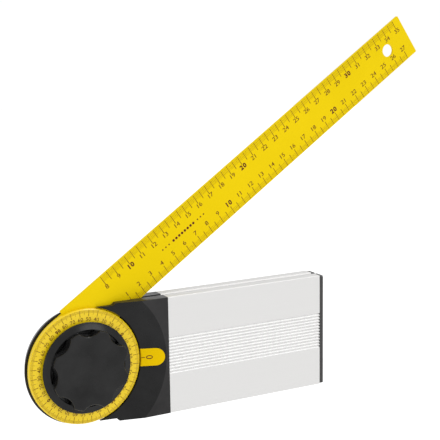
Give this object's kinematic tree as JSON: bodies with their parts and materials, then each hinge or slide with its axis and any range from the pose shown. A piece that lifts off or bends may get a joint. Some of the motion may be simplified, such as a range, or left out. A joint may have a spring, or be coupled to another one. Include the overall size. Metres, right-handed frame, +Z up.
{
  "type": "folding protractor square",
  "caption": "Folding protractor square: a ruled blade swings out of a slotted handle and locks at any angle with a knob over a round degree dial.",
  "frame": {"origin": "middle of the handle's lower working edge, in the middle of its thickness", "axes": "+X along the handle from the pivot to the end cap, +Z up from the lower working edge to the blade slot, -Y out of the knob side"},
  "size_m": [0.2949, 0.0235, 0.2505],
  "materials": {
    "profile": "satin, clear anodised",
    "cap": "moulded, fine texture",
    "housing": "moulded, fine texture",
    "knob": "moulded, fine texture",
    "blade": "satin yellow paint with dark printed scales",
    "dial": "satin yellow with dark printed degrees",
    "pointer": "satin yellow",
    "screw": "zinc plated",
    "bolt": "zinc plated",
    "rivet": "plain",
    "washer": "plain",
    "insert": "plain",
    "bush": "turned",
    "fibre": "pressed fibre"
  },
  "bodies": {
    "handle": {"handle_profile": "profile", "end_cap": "cap", "cap_screws": "screw", "housing_front": "housing", "housing_back": "housing", "housing_screws": "screw", "profile_screws": "screw", "pointer_insert": "pointer", "pivot_bolt": "bolt", "back_friction_washer": "fibre", "thrust_washer": "washer"},
    "blade": {"blade": "blade", "dial_ring": "dial", "pivot_bush": "bush", "dial_rivets": "rivet"},
    "knob_lift": {"spring_washer": "washer", "knob_friction_ring": "fibre"},
    "knob": {"knob_body": "knob", "knob_insert": "insert"}
  },
  "joints": [
    {"name": "blade_swing", "type": "hinge", "parent": "handle", "child": "blade", "pos_m": [-0.0674, 0, 0.0386], "axis": [0, -1, 0], "range_deg": [-34.55, 235.45]},
    {"name": "knob_rise", "type": "slide", "parent": "handle", "child": "knob_lift", "axis": [0, -1, 0], "range_m": [0, 0.0013]},
    {"name": "knob_turn", "type": "hinge", "parent": "knob_lift", "child": "knob", "pos_m": [-0.0674, 0, 0.0386], "axis": [0, -1, 0], "range_deg": [0, 360]}
  ],
  "couplings": [
    {"joint": "knob_rise", "follows": "knob_turn", "m_per_rad": 0.00019894}
  ]
}
